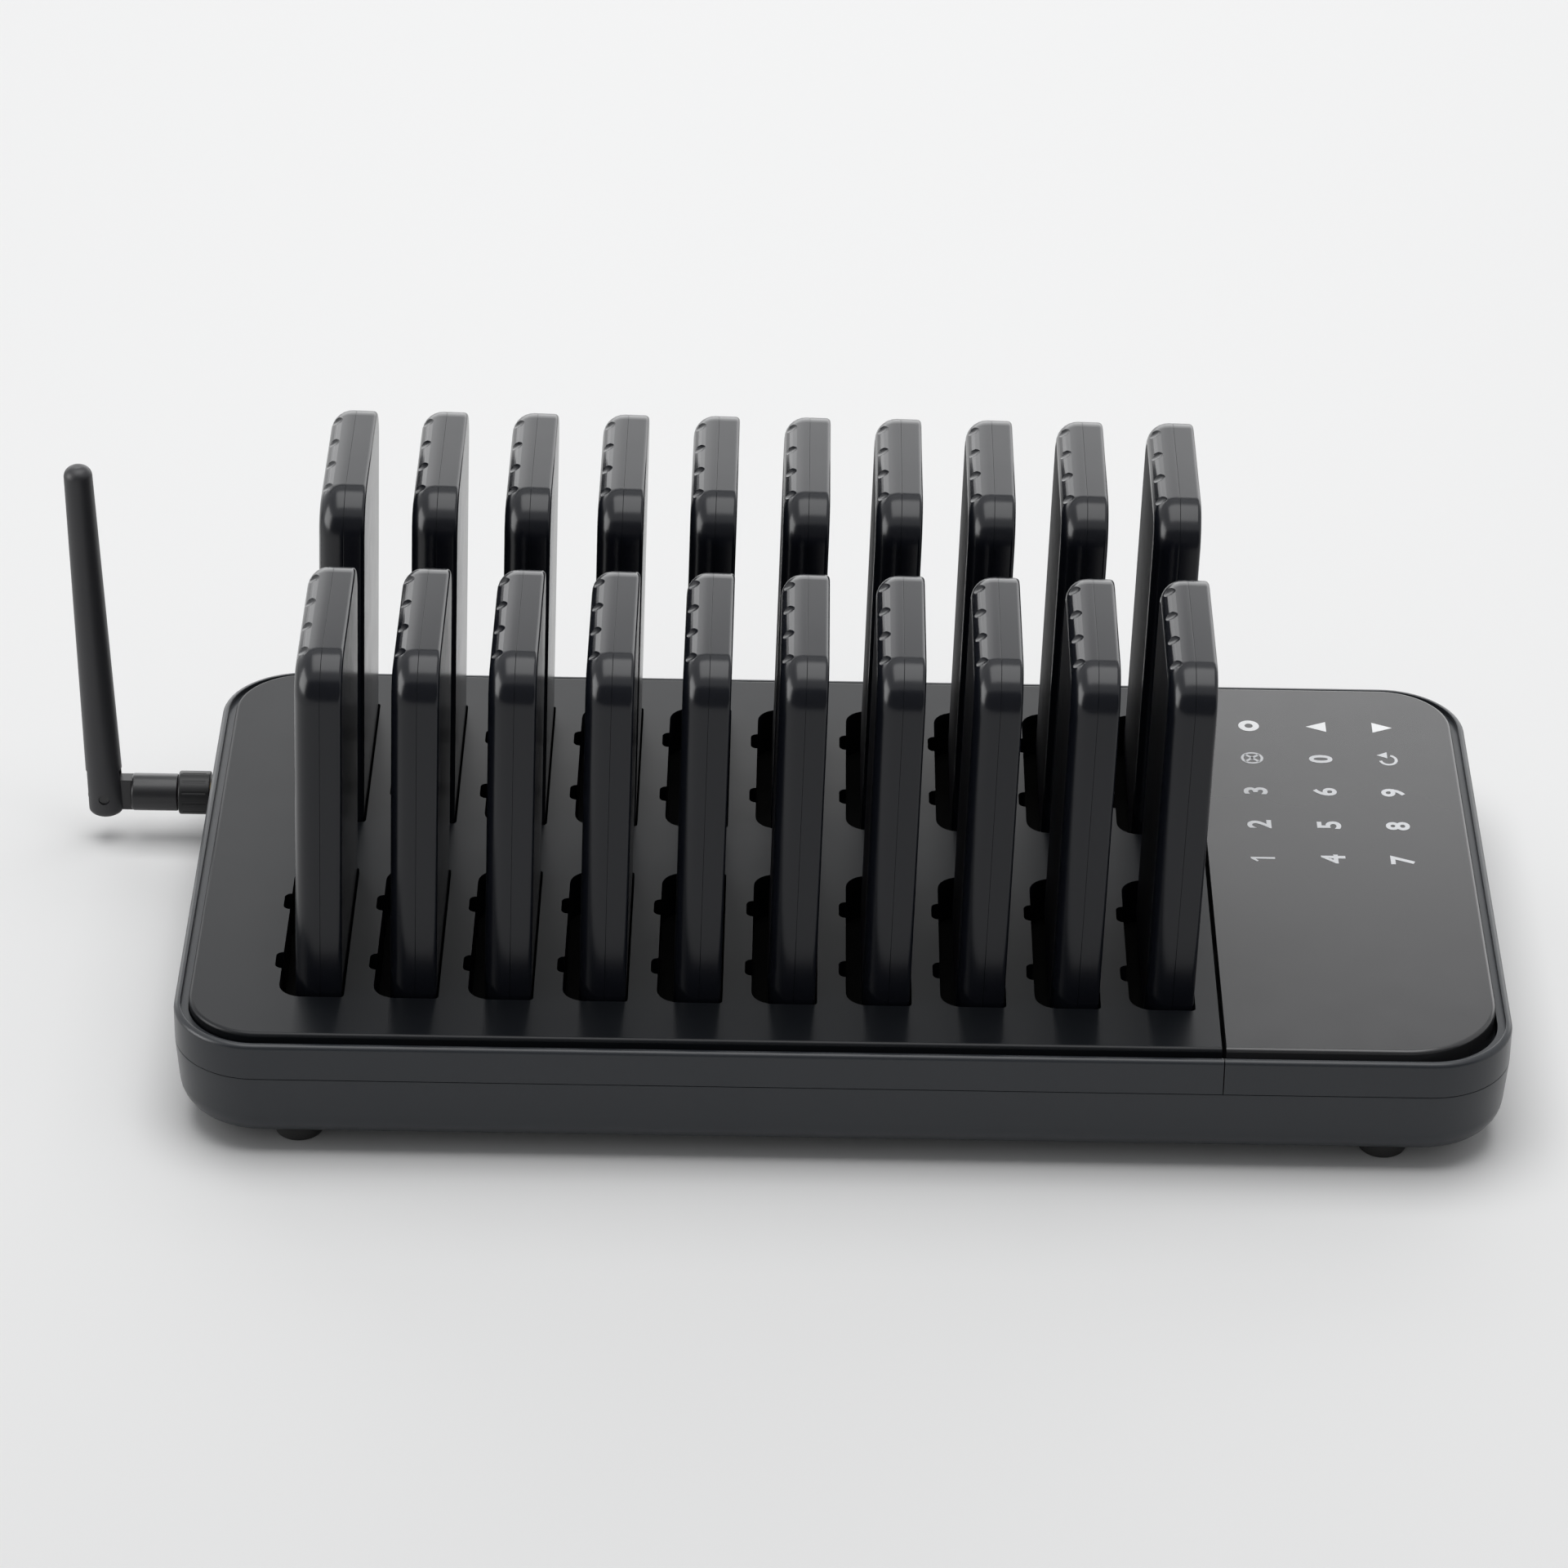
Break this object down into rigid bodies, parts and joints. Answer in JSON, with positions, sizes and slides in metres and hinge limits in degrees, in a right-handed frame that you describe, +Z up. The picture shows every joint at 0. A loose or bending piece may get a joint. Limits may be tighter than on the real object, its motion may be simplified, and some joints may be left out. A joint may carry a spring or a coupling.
{
  "type": "guest pager system",
  "caption": "Charging base with two rows of upright pagers in slots, a touch keypad section at one end and a folding stub antenna on the other.",
  "frame": {"origin": "middle of the base, on the plane of its feet", "axes": "+Z up, +X along the base towards the keypad section, +Y towards the back, where the power inlet is"},
  "size_m": [0.401, 0.2, 0.1386],
  "materials": {
    "base_shell": "black, fine satin to gloss moulding",
    "deck": "black, smooth gloss moulding",
    "keypad_film": "black printed overlay with white legends",
    "pager_shell": "black high gloss",
    "circuit_board": "green solder mask",
    "plated_contact": "gold plated",
    "screw_steel": "zinc plated",
    "foot_rubber": "soft black rubber",
    "inlet_plastic": "black moulding",
    "jack_metal": "plated, turned",
    "collar_metal": "black, knurled",
    "antenna_plastic": "black satin moulding"
  },
  "bodies": {
    "base": {"lower_shell": "base_shell", "deck_frame": "base_shell", "keypad_frame": "base_shell", "deck_plate": "deck", "keypad_panel": "keypad_film", "contact_boards": "circuit_board", "keypad_touch_board": "circuit_board", "main_board": "circuit_board", "radio_board": "circuit_board", "charging_contacts": "plated_contact", "case_screws": "screw_steel", "rubber_feet": "foot_rubber", "power_inlet": "inlet_plastic", "antenna_jack": "jack_metal", "antenna_jack_nut": "jack_metal", "antenna_collar": "collar_metal"},
    "antenna_swivel": {"antenna_knuckle": "antenna_plastic", "antenna_hinge_pin": "screw_steel"},
    "antenna_arm": {"antenna_arm": "antenna_plastic"},
    "pager_01": {"pager_01_front_cover": "pager_shell", "pager_01_back_cover": "pager_shell"},
    "pager_02": {"pager_02_front_cover": "pager_shell", "pager_02_back_cover": "pager_shell"},
    "pager_03": {"pager_03_front_cover": "pager_shell", "pager_03_back_cover": "pager_shell"},
    "pager_04": {"pager_04_front_cover": "pager_shell", "pager_04_back_cover": "pager_shell"},
    "pager_05": {"pager_05_front_cover": "pager_shell", "pager_05_back_cover": "pager_shell"},
    "pager_06": {"pager_06_front_cover": "pager_shell", "pager_06_back_cover": "pager_shell"},
    "pager_07": {"pager_07_front_cover": "pager_shell", "pager_07_back_cover": "pager_shell"},
    "pager_08": {"pager_08_front_cover": "pager_shell", "pager_08_back_cover": "pager_shell"},
    "pager_09": {"pager_09_front_cover": "pager_shell", "pager_09_back_cover": "pager_shell"},
    "pager_10": {"pager_10_front_cover": "pager_shell", "pager_10_back_cover": "pager_shell"},
    "pager_11": {"pager_11_front_cover": "pager_shell", "pager_11_back_cover": "pager_shell"},
    "pager_12": {"pager_12_front_cover": "pager_shell", "pager_12_back_cover": "pager_shell"},
    "pager_13": {"pager_13_front_cover": "pager_shell", "pager_13_back_cover": "pager_shell"},
    "pager_14": {"pager_14_front_cover": "pager_shell", "pager_14_back_cover": "pager_shell"},
    "pager_15": {"pager_15_front_cover": "pager_shell", "pager_15_back_cover": "pager_shell"},
    "pager_16": {"pager_16_front_cover": "pager_shell", "pager_16_back_cover": "pager_shell"},
    "pager_17": {"pager_17_front_cover": "pager_shell", "pager_17_back_cover": "pager_shell"},
    "pager_18": {"pager_18_front_cover": "pager_shell", "pager_18_back_cover": "pager_shell"},
    "pager_19": {"pager_19_front_cover": "pager_shell", "pager_19_back_cover": "pager_shell"},
    "pager_20": {"pager_20_front_cover": "pager_shell", "pager_20_back_cover": "pager_shell"}
  },
  "joints": [
    {"name": "antenna_turn", "type": "hinge", "parent": "base", "child": "antenna_swivel", "pos_m": [-0.2, 0.064, 0.0155], "axis": [1, 0, 0], "range_deg": [-90, 90]},
    {"name": "antenna_fold", "type": "hinge", "parent": "antenna_swivel", "child": "antenna_arm", "pos_m": [-0.2135, 0.064, 0.0155], "axis": [0, -1, 0], "range_deg": [-1.9, 88.1]},
    {"name": "pager_01_lift", "type": "slide", "parent": "base", "child": "pager_01", "axis": [0.0218, 0, 0.9998], "range_m": [0, 0.12]},
    {"name": "pager_02_lift", "type": "slide", "parent": "base", "child": "pager_02", "axis": [0.0218, 0, 0.9998], "range_m": [0, 0.12]},
    {"name": "pager_03_lift", "type": "slide", "parent": "base", "child": "pager_03", "axis": [0.0218, 0, 0.9998], "range_m": [0, 0.12]},
    {"name": "pager_04_lift", "type": "slide", "parent": "base", "child": "pager_04", "axis": [0.0218, 0, 0.9998], "range_m": [0, 0.12]},
    {"name": "pager_05_lift", "type": "slide", "parent": "base", "child": "pager_05", "axis": [0.0218, 0, 0.9998], "range_m": [0, 0.12]},
    {"name": "pager_06_lift", "type": "slide", "parent": "base", "child": "pager_06", "axis": [0.0218, 0, 0.9998], "range_m": [0, 0.12]},
    {"name": "pager_07_lift", "type": "slide", "parent": "base", "child": "pager_07", "axis": [0.0218, 0, 0.9998], "range_m": [0, 0.12]},
    {"name": "pager_08_lift", "type": "slide", "parent": "base", "child": "pager_08", "axis": [0.0218, 0, 0.9998], "range_m": [0, 0.12]},
    {"name": "pager_09_lift", "type": "slide", "parent": "base", "child": "pager_09", "axis": [0.0218, 0, 0.9998], "range_m": [0, 0.12]},
    {"name": "pager_10_lift", "type": "slide", "parent": "base", "child": "pager_10", "axis": [0.0218, 0, 0.9998], "range_m": [0, 0.12]},
    {"name": "pager_11_lift", "type": "slide", "parent": "base", "child": "pager_11", "axis": [0.0218, 0, 0.9998], "range_m": [0, 0.12]},
    {"name": "pager_12_lift", "type": "slide", "parent": "base", "child": "pager_12", "axis": [0.0218, 0, 0.9998], "range_m": [0, 0.12]},
    {"name": "pager_13_lift", "type": "slide", "parent": "base", "child": "pager_13", "axis": [0.0218, 0, 0.9998], "range_m": [0, 0.12]},
    {"name": "pager_14_lift", "type": "slide", "parent": "base", "child": "pager_14", "axis": [0.0218, 0, 0.9998], "range_m": [0, 0.12]},
    {"name": "pager_15_lift", "type": "slide", "parent": "base", "child": "pager_15", "axis": [0.0218, 0, 0.9998], "range_m": [0, 0.12]},
    {"name": "pager_16_lift", "type": "slide", "parent": "base", "child": "pager_16", "axis": [0.0218, 0, 0.9998], "range_m": [0, 0.12]},
    {"name": "pager_17_lift", "type": "slide", "parent": "base", "child": "pager_17", "axis": [0.0218, 0, 0.9998], "range_m": [0, 0.12]},
    {"name": "pager_18_lift", "type": "slide", "parent": "base", "child": "pager_18", "axis": [0.0218, 0, 0.9998], "range_m": [0, 0.12]},
    {"name": "pager_19_lift", "type": "slide", "parent": "base", "child": "pager_19", "axis": [0.0218, 0, 0.9998], "range_m": [0, 0.12]},
    {"name": "pager_20_lift", "type": "slide", "parent": "base", "child": "pager_20", "axis": [0.0218, 0, 0.9998], "range_m": [0, 0.12]}
  ]
}
